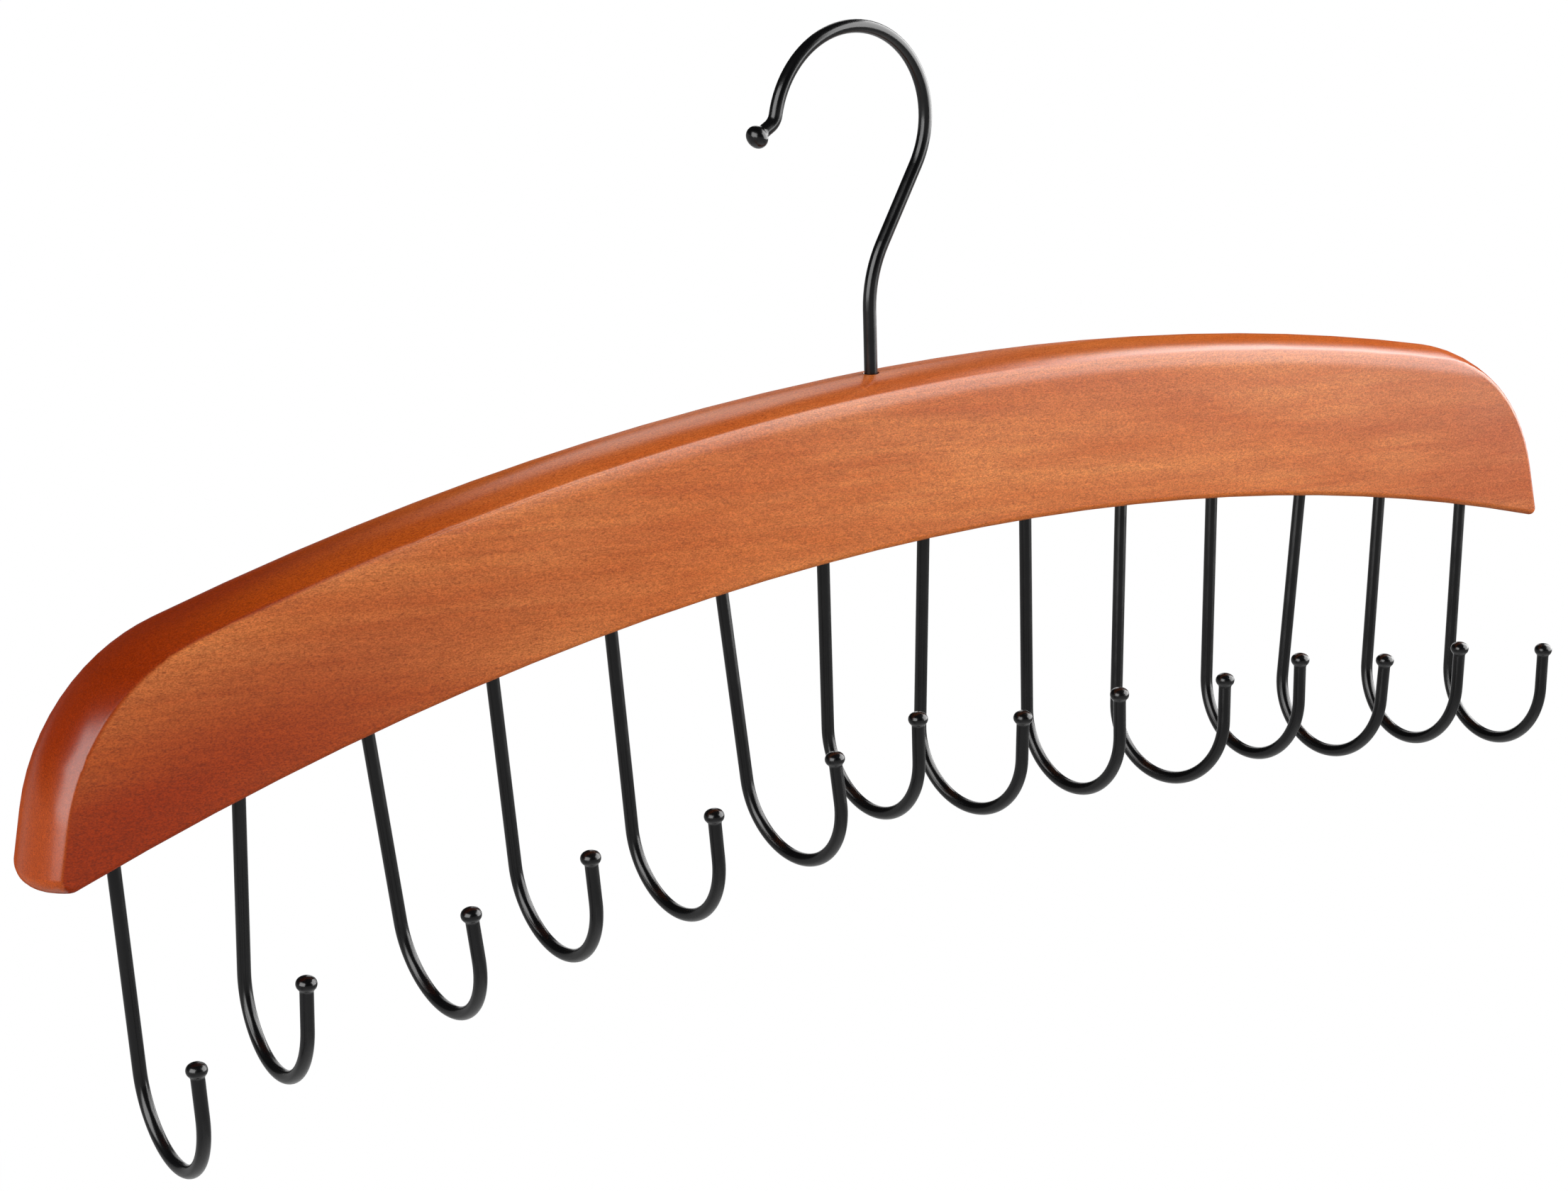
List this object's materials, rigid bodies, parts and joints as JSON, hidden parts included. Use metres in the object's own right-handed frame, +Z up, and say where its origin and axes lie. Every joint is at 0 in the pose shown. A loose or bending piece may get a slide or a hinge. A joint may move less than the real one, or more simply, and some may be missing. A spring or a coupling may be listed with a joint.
{
  "type": "tie hanger",
  "caption": "Arched wooden tie hanger on a swivelling wire hook, with a row of ball-ended wire tie hooks hanging from its underside.",
  "frame": {"origin": "on the swivel axis, at the inside of the hook's loop, where the rod bears with the bar level", "axes": "+X along the bar, +Y from the front to the back, with the tie hooks opening towards -Y, +Z up"},
  "size_m": [0.4313, 0.046, 0.2073],
  "materials": {
    "stained_wood": "cherry stain under satin lacquer",
    "black_wire": "gloss black powder coat on steel wire",
    "zinc_steel": "zinc plated"
  },
  "bodies": {
    "hook": {"swivel_hook": "black_wire", "hook_lock_nut": "zinc_steel"},
    "bar": {"wooden_bar": "stained_wood", "hook_washer": "zinc_steel", "tie_hook_01": "black_wire", "tie_hook_02": "black_wire", "tie_hook_03": "black_wire", "tie_hook_04": "black_wire", "tie_hook_05": "black_wire", "tie_hook_06": "black_wire", "tie_hook_07": "black_wire", "tie_hook_08": "black_wire", "tie_hook_09": "black_wire", "tie_hook_10": "black_wire", "tie_hook_11": "black_wire", "tie_hook_12": "black_wire", "tie_hook_13": "black_wire", "tie_hook_14": "black_wire"}
  },
  "joints": [
    {"name": "swivel", "type": "hinge", "parent": "hook", "child": "bar", "pos_m": [0, 0, -0.07537], "axis": [0, 0, 1], "continuous": true}
  ]
}
